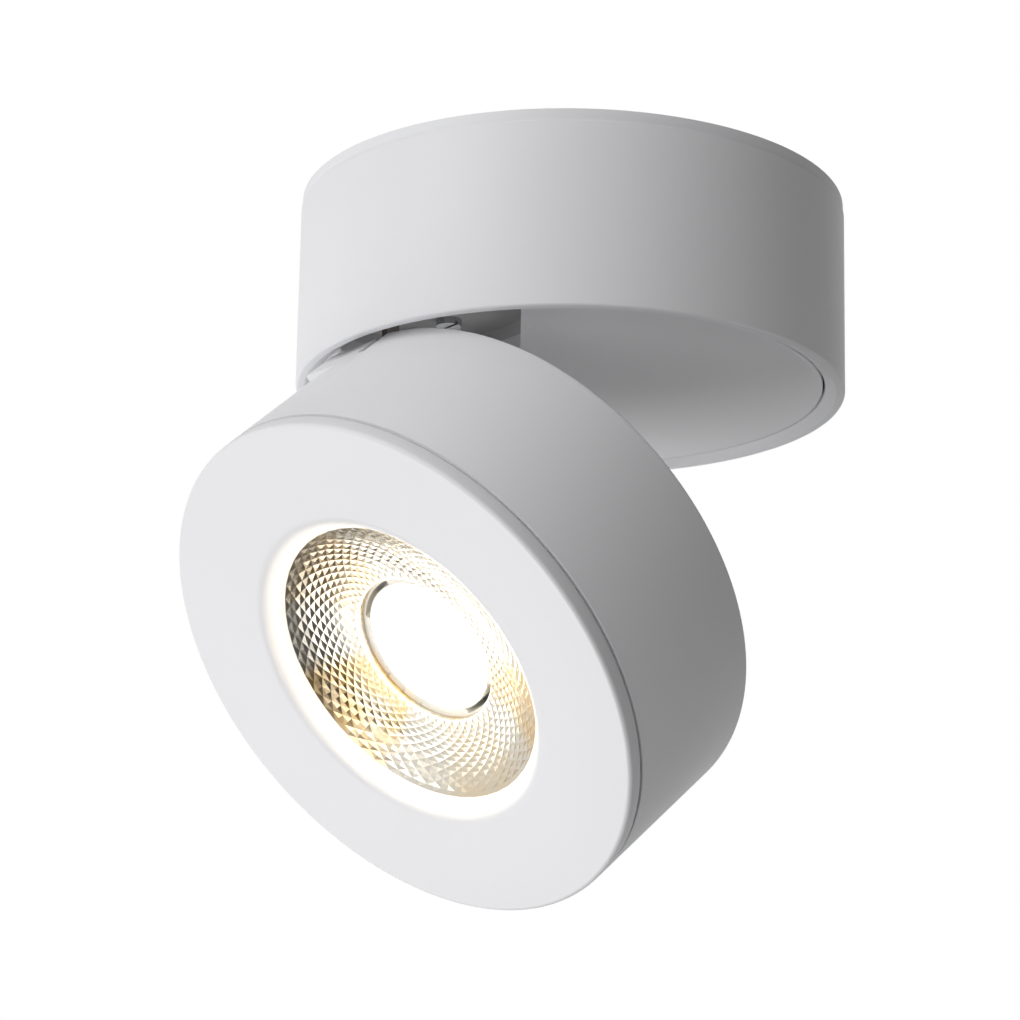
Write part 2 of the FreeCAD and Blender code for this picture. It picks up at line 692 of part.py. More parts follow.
def hinge_liner():
    """A dark tray that closes the pocket from above and carries the hinge bracket."""
    body = new_body("hinge_liner")
    add_prism(body, fan("flange_width"), DISC_TOP, f"{DISC_TOP} + flange_thickness")
    add_prism(body, fan("liner_wall"), DISC_TOP, CEILING_TOP)
    add_prism(body, fan("0"), DISC_TOP, CEILING_LOW, "Pocket")
    outside_disc(body, DISC_TOP, CEILING_TOP)
    add_block(body, "-lead_width / 2", "lead_width / 2", "-pocket_back - liner_wall",
              "-pocket_back + flange_width + liner_wall", DISC_TOP, f"{DISC_TOP} + lead_height * 0.8",
              "Pocket")
    add_block(body, *beside_arm(NOTCH_HALF), "-base_radius", f"-{LUG_BACK} + notch_gap", CEILING_LOW,
              CEILING_TOP, "Pocket")
    screw_holes(body, liner_spots()[1:] + bracket_spots(), DISC_TOP, CEILING_TOP)
    screws("liner_screws", liner_spots()[1:], f"({DISC_TOP} + flange_thickness)",
           length="(flange_thickness + disc_thickness * 3 / 4)")


def bracket_spots():
    reach = f"-({LUG_BACK} - foot_length * 0.6)"
    return [("-foot_width / 4", reach), ("foot_width / 4", reach)]


def hinge_bracket():
    """A steel foot on top of the tray, and its thin arm through the tray down to the hinge axis."""
    foot_top = f"({CEILING_TOP} + foot_thickness)"
    body = new_body("hinge_bracket")
    add_block(body, "-foot_width / 2", "foot_width / 2", f"-{LUG_FACE}", f"-({LUG_BACK} - foot_length)",
              CEILING_TOP, foot_top)
    arm = beside_arm(LUG_HALF)
    add_block(body, *arm, f"-{LUG_FACE}", f"-{LUG_BACK}", HINGE_LEVEL, CEILING_TOP)
    cross_rod(body, "knuckle_radius", *arm)
    cross_rod(body, "pin_radius + pin_play", *arm, kind="Pocket")
    screw_holes(body, bracket_spots(), CEILING_TOP, foot_top)
    screws("bracket_screws", bracket_spots(), CEILING_LOW, downwards=True,
           length="(liner_wall + foot_thickness)")


# ---------------------------------------------------------------- head, drawn closed
def post_spots():
    """Three posts for the heat sink, one of them opposite the hinge."""
    across, along = f"{POST_REACH} * cos(30)", f"-{POST_REACH} * sin(30)"
    return [("0", POST_REACH), (across, along), (f"-{across}", along)]


def yoke_spots():
    reach = f"-({YOKE_BACK} - yoke_plate / 2)"
    return [(across, reach) for across in beside_arm(f"{YOKE_HALF} / 2")]


def head_housing():
    """The cup of the head, with vents, posts for the heat sink, a notch for the hinge arm and a flat and a
    step beside it."""
    body = turned("head_housing", [
        ("0", REAR),
        ("0", REAR_INSIDE),
        (HEAD_INSIDE, REAR_INSIDE),
        (HEAD_INSIDE, SHELL_LOW),
        (HEAD_RADIUS, SHELL_LOW),
        (HEAD_RADIUS, REAR),
    ])
    end = f"(lug_offset - {NOTCH_HALF})"
    add_block(body, f"{end} - flat_length", end, f"-({HEAD_RADIUS} - flat_inset)", f"-{HEAD_INSIDE}",
              f"{REAR} - flat_height", f"{REAR} - step_depth")
    add_block(body, f"{end} - flat_length", end, "-base_radius", f"-({HEAD_RADIUS} - step_inset)",
              f"{REAR} - step_depth", REAR, "Pocket")
    for across, along in post_spots():
        add_disc(body, "post_radius", SINK_BACK, REAR_INSIDE, across, along)
    screw_holes(body, post_spots(), SINK_BACK, f"{SINK_BACK} + screw_length")
    add_disc(body, "lead_hole_radius", REAR_INSIDE, REAR, "lead_hole_x", "-lead_hole_reach", "Pocket")
    notch = beside_arm(NOTCH_HALF)
    relief = f"({YOKE_HALF} + pin_head_height + notch_gap)"
    outer = f"-({HEAD_INSIDE} + notch_gap)"
    add_block(body, *beside_arm(relief), outer, f"-({YOKE_BACK} - fit_gap)",
              f"{HINGE_LEVEL} - knuckle_radius - notch_gap", SKIN_LEVEL, "Pocket")
    cross_rod(body, "knuckle_radius + notch_gap", *notch, kind="Pocket")
    add_block(body, *notch, f"-{HEAD_RADIUS} - notch_gap", f"-({LUG_BACK} - notch_gap)",
              f"{REAR} - notch_depth", REAR, "Pocket")
    screw_holes(body, yoke_spots(), REAR_INSIDE, SKIN_LEVEL)
    vents = new_sketch(body, REAR)
    draw_slot(vents, "(vent_inner + vent_outer) / 2", "0", "(vent_outer - vent_inner)", "vent_width")
    repeat_round(body, [add(body, vents, "rear_wall", "Pocket")], "vent_count")
    round_edges(body, "edge_round", (HEAD_RADIUS, REAR))
    return body


def hinge_yoke():
    """A steel fork inside the head: two cheeks beside the knuckle, and a plate screwed to the rear wall."""
    body = new_body("hinge_yoke")
    left, right = beside_arm(YOKE_HALF)
    low = f"{HINGE_LEVEL} - {CHEEK_RADIUS}"
    high = f"{SKIN_LEVEL} - fit_gap"
    front = f"-({HINGE_REACH} + pin_head - fit_gap)"
    add_block(body, left, right, front, f"-{YOKE_BACK}", low, high)
    add_block(body, left, right, f"-{YOKE_BACK}", f"-{YOKE_BACK} + yoke_plate",
              f"{REAR_INSIDE} - yoke_thickness", REAR_INSIDE)
    add_block(body, *beside_arm(NOTCH_HALF), f"{front} - notch_gap", f"-{YOKE_BACK} - yoke_web", low, high,
              "Pocket")
    cross_rod(body, "pin_radius", left, right, "Pocket")
    screw_holes(body, yoke_spots(), f"{REAR_INSIDE} - yoke_thickness", REAR_INSIDE)
    return [body, screws("yoke_screws", yoke_spots(), f"({REAR_INSIDE} - yoke_thickness)", downwards=True,
                         length="(yoke_thickness + rear_wall - skin)")]


def hinge_pin():
    """The pin with its two riveted ends, and the friction washers beside the knuckle."""
    pin = new_body("hinge_pin")
    left, right = beside_arm(YOKE_HALF)
    cross_rod(pin, "pin_radius", left, right)
    cross_rod(pin, "pin_head", f"{left} - pin_head_height", left)
    cross_rod(pin, "pin_head", right, f"{right} + pin_head_height")
    washers = new_body("hinge_washers", several=True)
    for outer, inner in zip(beside_arm(NOTCH_HALF), beside_arm(f"{LUG_HALF} + notch_gap / 3")):
        cross_rod(washers, "knuckle_radius - notch_gap", *sorted((outer, inner), key=number))
    cross_rod(washers, "pin_radius + pin_play", left, right, "Pocket")
    return [pin, washers]


def lead_grommet():
    """A rubber bush where the lamp's lead leaves the rear wall."""
    body = new_body("lead_grommet")
    spot = "lead_hole_x", "-lead_hole_reach"
    add_disc(body, "lead_hole_radius", REAR_INSIDE, REAR, *spot)
    add_disc(body, "lead_hole_radius + skin", f"{REAR_INSIDE} - skin", REAR_INSIDE, *spot)
    add_disc(body, "lead_hole_radius - skin", f"{REAR_INSIDE} - skin", REAR, *spot, kind="Pocket")
    return [body]


def heat_sink():
    """A finned disc behind the light source, with a smaller core that the fins run from."""
    tip = f"({REAR_INSIDE} - fin_clearance)"
    body = new_body("heat_sink")
    add_disc(body, SINK_RADIUS, SINK_FRONT, SINK_BACK)
    add_disc(body, "sink_core", SINK_BACK, tip)
    screw_holes(body, post_spots(), SINK_FRONT, SINK_BACK)
    screw_holes(body, holder_spots(), SINK_FRONT, SINK_BACK)
    fin = add_block(body, "sink_core - fin_thickness", f"{POST_REACH} - fin_inset", "-fin_thickness / 2",
                    "fin_thickness / 2", SINK_BACK, tip)
    repeat_round(body, [fin], "fin_count")
    held = screws("heat_sink_screws", post_spots(), SINK_FRONT, downwards=True,
                  length="(sink_base + screw_length)")
    return [body, held]


def holder_spots():
    reach = "(tower_radius + holder_ear / 2)"
    return [(f"-{reach}", "0"), (reach, "0")]


def light_source():
    """The light chip on its board, the ring that clamps it to the heat sink, and the glowing lens."""
    half = "cob_side / 2"
    board_back = f"({BOARD_FRONT} + cob_thickness)"
    pad = new_body("thermal_pad")
    add_block(pad, f"-{half}", half, f"-{half}", half, board_back, SINK_FRONT)
    board = new_body("cob_board")
    add_block(board, f"-{half}", half, f"-{half}", half, BOARD_FRONT, board_back)
    emitter = new_body("cob_emitter")
    add_disc(emitter, "emitter_radius", f"{BOARD_FRONT} - emitter_thickness", BOARD_FRONT)
    lens_back = f"({LENS_FRONT} + lens_thickness)"
    lens = ring("light_lens", "0", "lens_radius", LENS_FRONT, lens_back)
    holder = turned("cob_holder", [
        ("lens_radius + fit_gap", COLLAR),
        ("tower_radius", COLLAR),
        ("tower_radius", HOLDER_BACK),
        (HOLDER_RADIUS, HOLDER_BACK),
        (HOLDER_RADIUS, SINK_FRONT),
        ("lens_radius - ledge", SINK_FRONT),
        ("lens_radius - ledge", lens_back),
        ("lens_radius + fit_gap", lens_back),
    ])
    wide = f"({half} + fit_gap)"
    add_block(holder, f"-{wide}", wide, f"-{wide}", wide, BOARD_FRONT, SINK_FRONT, "Pocket")
    screw_holes(holder, holder_spots(), HOLDER_BACK, SINK_FRONT)
    held = screws("holder_screws", holder_spots(), HOLDER_BACK, downwards=True,
                  length="(holder_flange + sink_base * 0.8)")
    return [pad, board, emitter, lens, holder, held]


def front():
    """The reflector bowl, the front ring with its rounded lip and the gasket behind its band."""
    bowl_back = f"({FACE} + opening_depth + reflector_wall)"
    throat = f"({FACE} + throat_depth)"
    opening = f"({FACE} + opening_depth)"
    reflector = turned("reflector", [
        ("opening_radius", opening, "bowl_curve"),
        ("throat_radius", throat),
        ("throat_radius", COLLAR),
        ("throat_radius + reflector_wall", COLLAR),
        ("throat_radius + reflector_wall", f"{throat} + reflector_wall", "-(bowl_curve + reflector_wall)"),
        ("opening_radius + reflector_wall", bowl_back),
        (FLANGE_RADIUS, bowl_back),
        (FLANGE_RADIUS, opening),
    ])
    skirt = f"({HEAD_INSIDE} - fit_gap)"
    trim = turned("front_trim", [
        ("opening_radius", opening),
        (FLANGE_RADIUS, opening),
        (FLANGE_RADIUS, f"{FACE} + trim_face"),
        (f"{skirt} - trim_skirt_wall", f"{FACE} + trim_face"),
        (f"{skirt} - trim_skirt_wall", f"{FACE} + trim_skirt"),
        (skirt, f"{FACE} + trim_skirt"),
        (skirt, SEAM),
        (HEAD_RADIUS, SEAM),
        (HEAD_RADIUS, FACE),
        ("opening_radius + lip_reach", FACE, "-lip_round"),
        ("opening_radius + lip_edge", f"{FACE} + lip_depth"),
    ])
    round_edges(trim, "edge_round", (HEAD_RADIUS, FACE))
    gasket = ring("trim_gasket", skirt, f"{HEAD_RADIUS} - gasket_inset", SEAM, SHELL_LOW)
    return [reflector, trim, gasket]


def swing_out(body):
    """Turns a head piece about the hinge axis, from closed to the rest tilt."""
    body.Placement = FreeCAD.Placement(FreeCAD.Vector(), FreeCAD.Rotation(FreeCAD.Vector(-1, 0, 0), 1))
    across = f"{HINGE_REACH} * (cos(rest_tilt) - 1) - {HINGE_LEVEL} * sin(rest_tilt)"
    up = f"{HINGE_LEVEL} * (1 - cos(rest_tilt)) - {HINGE_REACH} * sin(rest_tilt)"
    body.setExpression("Placement.Base.y", full(across))
    body.setExpression("Placement.Base.z", full(up))
    body.setExpression("Placement.Rotation.Angle", full("rest_tilt"))


mounting_plate()
base_housing()
lock_screws()
cable_grommet()
driver()
terminals()
swivel_base()
turntable_disc()
swivel_turning()
hinge_liner()
hinge_bracket()
head = [head_housing(), *hinge_yoke(), *hinge_pin(), *lead_grommet(), *heat_sink(), *light_source(), *front()]
for piece in head:
    swing_out(piece)

doc.recompute()
for item in doc.Objects:
    if "Invalid" in item.State or "Error" in item.State:
        raise RuntimeError(f"{item.Label} failed: {item.State}")
os.makedirs("parts", exist_ok=True)
for body in sub_parts:
    if body.Shape.isNull() or not body.Shape.isValid() or not body.Shape.Solids:
        raise RuntimeError(f"{body.Label} has no valid shape")
    body.Shape.exportStep(f"parts/{body.Label}.step")
    print(f"{body.Label}: {len(body.Shape.Solids)} solid(s), {body.Shape.Volume:.1f} mm3")
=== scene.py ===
"""Surface mounted ceiling spotlight: white painted drums on a hinge, a faceted reflector and a lit lens.

Sizes are in millimetres and are turned to metres where a mesh is made. Head pieces are modelled closed,
straight below the base, and then swung out about the hinge by the rest tilt.
"""

import json
import math

import bmesh
import bpy
from mathutils import Matrix, Vector


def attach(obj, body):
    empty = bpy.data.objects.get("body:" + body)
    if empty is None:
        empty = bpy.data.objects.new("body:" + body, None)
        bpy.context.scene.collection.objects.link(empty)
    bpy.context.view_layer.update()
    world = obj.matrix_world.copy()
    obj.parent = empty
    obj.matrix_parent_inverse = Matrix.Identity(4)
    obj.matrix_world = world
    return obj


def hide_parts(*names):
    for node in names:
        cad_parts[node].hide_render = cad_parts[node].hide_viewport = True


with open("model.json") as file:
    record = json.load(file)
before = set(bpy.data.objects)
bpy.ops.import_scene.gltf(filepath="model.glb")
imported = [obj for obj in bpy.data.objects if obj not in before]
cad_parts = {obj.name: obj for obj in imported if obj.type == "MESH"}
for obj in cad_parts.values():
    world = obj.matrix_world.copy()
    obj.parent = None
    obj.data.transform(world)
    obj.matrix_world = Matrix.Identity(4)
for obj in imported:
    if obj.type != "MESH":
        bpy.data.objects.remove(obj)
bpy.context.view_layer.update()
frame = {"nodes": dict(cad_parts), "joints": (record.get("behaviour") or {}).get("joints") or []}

MM = 0.001

# ---------------------------------------------------------------- sizes, in millimetres and degrees
PAST = 1  # how far a cutter runs past what it opens
HAIR = 0.01  # too small to see; keeps faces and tests off each other's planes

BASE_RADIUS = 50
BASE_HEIGHT = 36
BASE_INSIDE = 46.4
PLATE_RADIUS = 49.8
PLATE_THICKNESS = 2.3
SKIRT_RADIUS = 46.2
SKIRT_WALL = 1.6
SKIRT_LOW = -8.3
RIM_ROUND = 0.5
CHAMFER_WIDTH = 2
CHAMFER_HEIGHT = 1.2
FLOOR_TOP = -24
FLOOR_LOW = -26.5
BUSH_RADIUS = 6.55
LOCK_RADIUS = 1.5
LOCK_LEVEL = -5.3
LOCK_ANGLES = (90, 220)
SLOT_SPACING = 60
SLOT_LENGTH = 12
SLOT_WIDTH = 4.5
CABLE_HOLE = 6
PLATE_EDGE = 0.25
SHELL_EDGE = 0.2

DISC_RADIUS = 45.95
DISC_LOW = -35
DISC_TOP = -32.5
DISC_ROUND = 0.45
HUB_RADIUS = 9
HUB_TOP = -27.4
SPINDLE_RADIUS = 5
LEAD_RADIUS = 4.8
LEAD_TOP = -30.5
LEAD_WIDTH = 5
POCKET_BACK = 22.5
POCKET_HALF = 13
POCKET_LEFT = 10
POCKET_FLARE = 50.8
DISC_EDGE = 0.12

HEAD_RADIUS = 49
HEAD_INSIDE = 46
REAR = -36.5
REAR_INSIDE = -39.5
SHELL_LOW = -68.28
FACE = -71.9
SEAM = -68.9
EDGE_ROUND = 0.8
HINGE_LEVEL = -41
HINGE_REACH = 44.35
LUG_OFFSET = 1.9
NOTCH_HALF = 1.1
NOTCH_BACK = 41.25
NOTCH_LOW = -43.7
BARREL_RADIUS = 3.1
RELIEF_HALF = 5.85
RELIEF_NEAR = 46.3
RELIEF_FAR = 36.15
RELIEF_LOW = -44.1
RELIEF_TOP = -37.5
FLAT_LENGTH = 12.8
FLAT_REACH = 48.85
FLAT_LOW = -45.5
FLAT_INSET = 0.1
STEP_REACH = 47.2
STEP_LOW = -38.2
POST_REACH = 32
POST_RADIUS = 3.2
POST_LOW = -55.4
POST_ROOT = 0.5
POST_ANGLES = (90, -30, 210)
VENT_INNER = 10
VENT_OUTER = 22
VENT_WIDTH = 2.4
VENT_COUNT = 16
LEAD_HOLE = (11.5, -30)
LEAD_HOLE_RADIUS = 3.5
HEAD_EDGE = 0.12

TRIM_BACK = 2.2
TRIM_SKIRT = 8
TRIM_SKIRT_WALL = 1.6
TRIM_SKIRT_RADIUS = 45.8
SEAM_ROUND = 0.25
FACE_ROUND = 0.8
LIP_REACH = 4.25
LIP_EDGE = 0.95
LIP_DEPTH = 2.2
LIP_ROUND = 3.6
OPENING_RADIUS = 27.2
OPENING_DEPTH = 3.3
FLANGE_RADIUS = 30
THROAT_RADIUS = 14.3
THROAT_DEPTH = 8
BOWL_CURVE = 20
REFLECTOR_WALL = 1
COLLAR_DEPTH = 9.2
SINK_DEPTH = 13.5
TOWER_RADIUS = 17
HOLDER_RADIUS = 22
HOLDER_FLANGE = 1.8
HOLDER_EDGE = 0.06
LENS_RADIUS = 12.4
LENS_GAP = 0.2
LENS_CLEARANCE = 0.2
LENS_DOME = 0.3
LENS_THICKNESS = 1.5
LEDGE = 1.2
CLIP_INNER = 12.9
CLIP_OUTER = 13.8
CLIP_SLOTS = ((-117, 48), (68, 44))  # each slot's middle and length, in degrees round the holder
PIT_REACH = 13.9
PIT_RADIUS = 0.25
PIT_DEPTH = 0.8
PIT_ANGLES = (136, 152, 168)
GASKET_RADIUS = 46.8
FACET_COLUMNS = 52
FACET_ROWS = 8
FACET_HEIGHT = 0.15
FACING_DOWN = -0.3  # a bowl face whose normal's Z is below this looks down, out of the bowl
# painted reflections round the bowl, drawn as a warm golden tint in the base colour: middle, half length and
# share of tint
PAINTED_REFLECTION_PATCHES = ((35, 12, 0.7), (90, 16, 0.35), (165, 20, 1), (245, 20, 0.55))
# how far, in degrees, each painted reflection fades out at its ends
PAINTED_REFLECTION_BLEND = 8

# how finely rounds are divided, and which edges are rounded or shaded smooth
ROUND_STEPS = 192
ROD_STEPS = 48
SLOT_STEPS = 24
PIT_STEPS = 12
DOME_STEPS = 12
LIP_STEPS = 10
FACE_STEPS = 8
ARC_STEPS = 6
FINE_STEPS = 4
SHARP_ANGLE = 30
SOFTENED_SMOOTH = 40
TURNED_SMOOTH = 35
MERGE_DISTANCE = 1e-7  # in metres

joints = {joint["name"]: joint for joint in frame["joints"]}
hinge = Vector(joints["tilt"]["pos_m"])
rest_tilt = math.radians(-joints["tilt"]["range_deg"][0])
swing = (
    Matrix.Translation(hinge)
    @ Matrix.Rotation(rest_tilt, 4, Vector(joints["tilt"]["axis"]))
    @ Matrix.Translation(-hinge)
)


# ---------------------------------------------------------------- materials
LENS_GLOW = 28
MIX_A, MIX_B, MIX_RESULT = 6, 7, 2  # a colour Mix node's two inputs and its output


def linear(code):
    """A colour written as an sRGB hex value, turned to the linear values that a shader takes."""
    parts = [int(code[i : i + 2], 16) / 255 for i in (1, 3, 5)]
    return [c / 12.92 if c <= 0.04045 else ((c + 0.055) / 1.055) ** 2.4 for c in parts] + [1]


def add_node(tree, kind, inputs=(), **settings):
    """Adds a node with its settings; an input is a value or the socket that feeds it."""
    made = tree.nodes.new(kind)
    for name, value in settings.items():
        setattr(made, name, value)
    for name, value in dict(inputs).items():
        if isinstance(value, bpy.types.NodeSocket):
            tree.links.new(value, made.inputs[name])
        else:
            made.inputs[name].default_value = value
    return made


def new_material(name):
    """A material with only a Principled shader and an output, and its node tree."""
    material = bpy.data.materials.new(name)
    material.use_nodes = True
    tree = material.node_tree
    tree.nodes.clear()
    shader = add_node(tree, "ShaderNodeBsdfPrincipled")
    add_node(tree, "ShaderNodeOutputMaterial", {"Surface": shader.outputs["BSDF"]})
    return material, tree, shader


def powder_coat():
    """Matt white powder coat on cast aluminium: a very fine orange peel and an even, soft sheen.

    The peel's waves are about 0.7 mm apart.
    """
    material, tree, shader = new_material("white_powder_coat")
    place = add_node(tree, "ShaderNodeTexCoord").outputs["Object"]
    grain = add_node(tree, "ShaderNodeTexNoise", {"Vector": place, "Scale": 1400, "Detail": 3})
    cloud = add_node(tree, "ShaderNodeTexNoise", {"Vector": place, "Scale": 35, "Detail": 2})
    tint = add_node(
        tree, "ShaderNodeMix",
        {"Factor": cloud.outputs["Fac"], MIX_A: linear("#EFEFF1"), MIX_B: linear("#F3F3F5")},
        data_type="RGBA",
    )
    rough = add_node(
        tree, "ShaderNodeMapRange", {"Value": grain.outputs["Fac"], "To Min": 0.42, "To Max": 0.56}
    )
    bump = add_node(
        tree, "ShaderNodeBump", {"Height": grain.outputs["Fac"], "Strength": 0.12, "Distance": 0.00006}
    )
    tree.links.new(tint.outputs[MIX_RESULT], shader.inputs["Base Color"])
    tree.links.new(rough.outputs["Result"], shader.inputs["Roughness"])
    tree.links.new(bump.outputs["Normal"], shader.inputs["Normal"])
    return material


def simple_metal(name, colour, roughness):
    """A metal with a fine uneven polish, drawn about 1 mm coarse so that it can show."""
    material, tree, shader = new_material(name)
    place = add_node(tree, "ShaderNodeTexCoord").outputs["Object"]
    grain = add_node(tree, "ShaderNodeTexNoise", {"Vector": place, "Scale": 900, "Detail": 3})
    rough = add_node(
        tree, "ShaderNodeMapRange",
        {"Value": grain.outputs["Fac"], "To Min": roughness - 0.06, "To Max": roughness + 0.08},
    )
    shader.inputs["Base Color"].default_value = linear(colour)
    shader.inputs["Metallic"].default_value = 1
    tree.links.new(rough.outputs["Result"], shader.inputs["Roughness"])
    return material


def moulded(name, colour, roughness):
    """A moulded plastic or rubber, its spark-eroded grain drawn about 1.4 mm coarse so that it can show."""
    material, tree, shader = new_material(name)
    place = add_node(tree, "ShaderNodeTexCoord").outputs["Object"]
    grain = add_node(tree, "ShaderNodeTexNoise", {"Vector": place, "Scale": 700, "Detail": 2})
    rough = add_node(
        tree, "ShaderNodeMapRange",
        {"Value": grain.outputs["Fac"], "To Min": roughness - 0.05, "To Max": roughness + 0.05},
    )
    bump = add_node(
        tree, "ShaderNodeBump", {"Height": grain.outputs["Fac"], "Strength": 0.1, "Distance": 0.00005}
    )
    shader.inputs["Base Color"].default_value = linear(colour)
    tree.links.new(rough.outputs["Result"], shader.inputs["Roughness"])
    tree.links.new(bump.outputs["Normal"], shader.inputs["Normal"])
    return material


def mirror_coat():
    """Vacuum metallised facets: warm bright aluminium, with painted reflections of warm light as golden areas
    in its colour.

    The painted reflections go by the angle round the bowl, so the pattern is first turned back to the closed
    head.
    """
    material, tree, shader = new_material("metallised_reflector")
    place = add_node(tree, "ShaderNodeTexCoord").outputs["Object"]
    back = swing.inverted()
    closed = add_node(
        tree, "ShaderNodeMapping",
        {"Vector": place, "Location": back.translation, "Rotation": back.to_euler()},
    )
    around = add_node(
        tree, "ShaderNodeTexGradient", {"Vector": closed.outputs["Vector"]}, gradient_type="RADIAL"
    )
    # painted reflection: how much warm golden tint each angle round the bowl gets
    painted_reflection_ramp = add_node(tree, "ShaderNodeValToRGB", {"Fac": around.outputs["Fac"]})
    points = painted_reflection_ramp.color_ramp.elements
    points.remove(points[0])
    for middle, half, peak in PAINTED_REFLECTION_PATCHES:
        for offset, share in ((-half - PAINTED_REFLECTION_BLEND, 0), (-half, peak), (half, peak), (half + PAINTED_REFLECTION_BLEND, 0)):
            points.new(((middle + offset) / 360 + 0.5) % 1).color = (share, share, share, 1)
    points.remove(points[-1])
    # a cloud that breaks up the painted reflections
    cloud = add_node(tree, "ShaderNodeTexNoise", {"Vector": place, "Scale": 160, "Detail": 2})
    uneven = add_node(
        tree, "ShaderNodeMapRange",
        {"Value": cloud.outputs["Fac"], "From Min": 0.35, "From Max": 0.6, "To Min": 0.5, "To Max": 1},
    )
    painted_reflection_share = add_node(
        tree, "ShaderNodeMath",
        {0: painted_reflection_ramp.outputs["Color"], 1: uneven.outputs["Result"]}, operation="MULTIPLY",
    )
    # the painted reflections mix the warm golden tint into the base colour
    tint = add_node(
        tree, "ShaderNodeMix",
        {"Factor": painted_reflection_share.outputs[0], MIX_A: linear("#CBC5B8"), MIX_B: linear("#D9BC8C")},
        data_type="RGBA",
    )
    tree.links.new(tint.outputs[MIX_RESULT], shader.inputs["Base Color"])
    shader.inputs["Metallic"].default_value = 1
    shader.inputs["Roughness"].default_value = 0.27
    return material


def lit_lens():
    """An opal polycarbonate lens, lit from behind to a warm white."""
    material, _, shader = new_material("lit_opal_lens")
    shader.inputs["Base Color"].default_value = linear("#FFFDF8")
    shader.inputs["Roughness"].default_value = 0.3
    shader.inputs["Emission Color"].default_value = linear("#FFF3E0")
    shader.inputs["Emission Strength"].default_value = LENS_GLOW
    return material


PAINT = powder_coat()
STEEL = simple_metal("zinc_plated_steel", "#B9BABC", 0.35)
DARK_ZINC = simple_metal("dark_zinc_plated_steel", "#85807A", 0.45)
SINK = simple_metal("cast_aluminium", "#C9CACC", 0.45)
BRASS = simple_metal("turned_brass", "#C9A25A", 0.3)
MIRROR = mirror_coat()
LENS = lit_lens()
BLACK = moulded("black_rubber", "#0C0C0C", 0.6)
LINER = moulded("pale_grey_abs", "#D2D2D2", 0.5)
PALE = moulded("white_polycarbonate", "#EFEDE6", 0.4)
NATURAL = moulded("natural_nylon", "#D6D3C8", 0.45)
GREEN = moulded("green_board", "#1E5A34", 0.4)
COPPER = moulded("taped_winding", "#B5843A", 0.5)
PHOSPHOR = moulded("phosphor_gel", "#F2D64A", 0.35)
SILICONE = moulded("grey_silicone_pad", "#8C8E92", 0.6)

NODE_FINISH = {
    PAINT: ["mounting_plate", "base_housing", "turntable_disc", "head_housing", "front_trim"],
    STEEL: [
        "lock_screws", "driver_screws", "terminal_screws", "stop_pin", "swivel_spindle", "stop_washer",
        "wave_washer", "swivel_nut", "liner_screws", "bracket_screws", "hinge_yoke", "yoke_screws",
        "hinge_pin", "hinge_washers", "heat_sink_screws", "holder_screws",
    ],
    DARK_ZINC: ["hinge_bracket"],
    SINK: ["heat_sink", "cob_board"],
    BRASS: ["terminal_clamps"],
    MIRROR: ["reflector"],
    LENS: ["light_lens"],
    BLACK: ["cable_grommet", "lead_grommet", "trim_gasket", "capacitors"],
    LINER: ["hinge_liner"],
    PALE: ["cob_holder", "driver_case", "driver_cover"],
    NATURAL: ["swivel_bush", "thrust_washer", "terminal_block"],
    GREEN: ["driver_board"],
    COPPER: ["transformer"],
    PHOSPHOR: ["cob_emitter"],
    SILICONE: ["thermal_pad"],
}
for finish, names in NODE_FINISH.items():
    for name in names:
        for slot in frame["nodes"][name].material_slots:
            slot.material = finish


# ---------------------------------------------------------------- modelling tools
def arc(across, along, radius, start, end, steps=ARC_STEPS):
    """Points on a round edge, from one angle to another in degrees."""
    angles = [math.radians(start + (end - start) * i / steps) for i in range(steps + 1)]
    return [(across + radius * math.cos(a), along + radius * math.sin(a)) for a in angles]


def bowl_line(first, last, radius, steps):
    """Points on the arc that curves outwards from first to last, both included."""
    a, b = Vector(first), Vector(last)
    chord = b - a
    side = Vector((-chord.y, chord.x)).normalized()
    centre = (a + b) / 2 + side * math.sqrt(radius**2 - (chord.length / 2) ** 2)
    begin = math.degrees(math.atan2(a.y - centre.y, a.x - centre.x))
    end = math.degrees(math.atan2(b.y - centre.y, b.x - centre.x))
    end += 360 * round((begin - end) / 360)
    return arc(centre.x, centre.y, radius, begin, end, steps)


def lathe(name, profile, steps=ROUND_STEPS, sweep=360):
    """Spins an outline of (radius, height) points about the Z axis; a part turn gets its two ends closed."""
    bpy.ops.object.select_all(action="DESELECT")
    bpy.ops.mesh.primitive_plane_add(size=MM)
    piece = bpy.context.object
    piece.name = name
    bpy.ops.object.mode_set(mode="EDIT")
    bpy.ops.mesh.select_mode(type="VERT")
    bpy.ops.mesh.select_all(action="SELECT")
    bpy.ops.mesh.merge(type="CENTER")
    points = [Vector((r * MM, 0, z * MM)) for r, z in profile]
    points.append(points[0])
    bpy.ops.transform.translate(value=points[0])
    for here, there in zip(points, points[1:]):
        bpy.ops.mesh.extrude_vertices_move(TRANSFORM_OT_translate={"value": there - here})
    bpy.ops.mesh.select_all(action="SELECT")
    bpy.ops.mesh.spin(steps=steps, angle=math.radians(sweep), center=(0, 0, 0), axis=(0, 0, 1))
    bpy.ops.mesh.select_all(action="SELECT")
    bpy.ops.mesh.remove_doubles(threshold=MERGE_DISTANCE)
    if sweep < 360:
        bpy.ops.mesh.fill_holes(sides=0)
    bpy.ops.mesh.normals_make_consistent(inside=False)
    bpy.ops.object.mode_set(mode="OBJECT")
    return piece


def pick(piece):
    """Selects a piece alone and makes it the active one."""
    bpy.ops.object.select_all(action="DESELECT")
    piece.select_set(True)
    bpy.context.view_layer.objects.active = piece


